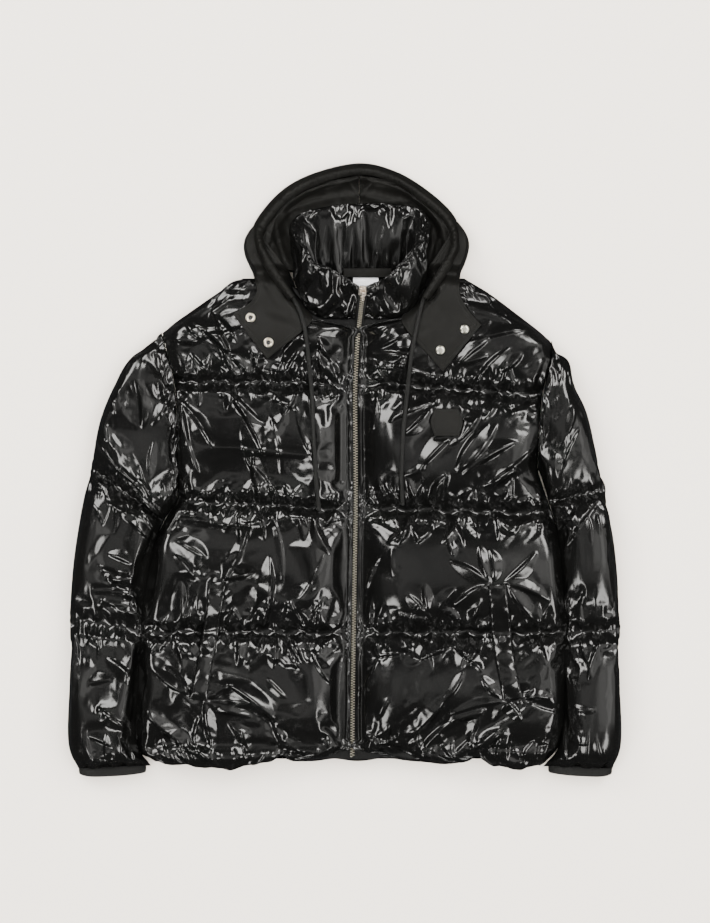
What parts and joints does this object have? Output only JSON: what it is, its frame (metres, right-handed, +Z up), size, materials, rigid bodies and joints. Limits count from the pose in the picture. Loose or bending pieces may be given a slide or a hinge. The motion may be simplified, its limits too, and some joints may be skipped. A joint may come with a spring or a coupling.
{
  "type": "hooded puffer jacket, laid flat",
  "caption": "Hooded puffer jacket lying flat on its back: padded, quilted gloss shell, zipped front, detachable matte hood with drawcords, welt pockets and bound cuffs.",
  "frame": {"origin": "on the surface that the jacket lies on, under the middle of its outline", "axes": "+Z up out of the fronts, +Y from the hem to the hood, +X to the wearer's left"},
  "size_m": [0.8048, 0.894, 0.09],
  "materials": {
    "gloss_nylon": "high-gloss coated black nylon, heavily crinkled, dielectric clear sheen",
    "matte_nylon": "matte black plain-woven nylon",
    "binding": "matte black elastic binding",
    "label_cloth": "plain white woven label, unprinted",
    "cord_braid": "matte black braided polyester cord",
    "zip_brass": "antique brass, satin",
    "snap_gold": "pale gold plated, polished",
    "snap_nickel": "nickel plated, satin polished",
    "snap_black": "black enamelled snap"
  },
  "bodies": {
    "jacket": {"back": "gloss_nylon", "front_right": "gloss_nylon", "front_left": "gloss_nylon", "sleeve_right_upper": "gloss_nylon", "sleeve_right_under": "gloss_nylon", "sleeve_left_upper": "gloss_nylon", "sleeve_left_under": "gloss_nylon", "collar": "gloss_nylon", "welt_right": "gloss_nylon", "welt_left": "gloss_nylon", "hood_right": "matte_nylon", "hood_left": "matte_nylon", "hood_tunnel": "matte_nylon", "hood_flap_right": "matte_nylon", "hood_flap_left": "matte_nylon", "chest_patch": "matte_nylon", "neck_facing": "matte_nylon", "cuff_right": "binding", "cuff_left": "binding", "neck_label": "label_cloth", "drawcord_right": "cord_braid", "drawcord_left": "cord_braid", "zip_right": "zip_brass", "zip_left": "zip_brass", "zip_slider": "zip_brass", "snap_ring_upper": "snap_gold", "snap_ring_lower": "snap_gold", "snap_cap_upper": "snap_nickel", "snap_cap_lower": "snap_nickel", "welt_snap_right": "snap_black", "welt_snap_left": "snap_black"},
    "pull_tab": {"zip_pull": "zip_brass"}
  },
  "joints": [
    {"name": "pull_tab_hinge", "type": "hinge", "parent": "jacket", "child": "pull_tab", "pos_m": [0.0264, 0.2552, 0.0873], "axis": [-1, 0, 0], "range_deg": [0, 150]}
  ]
}
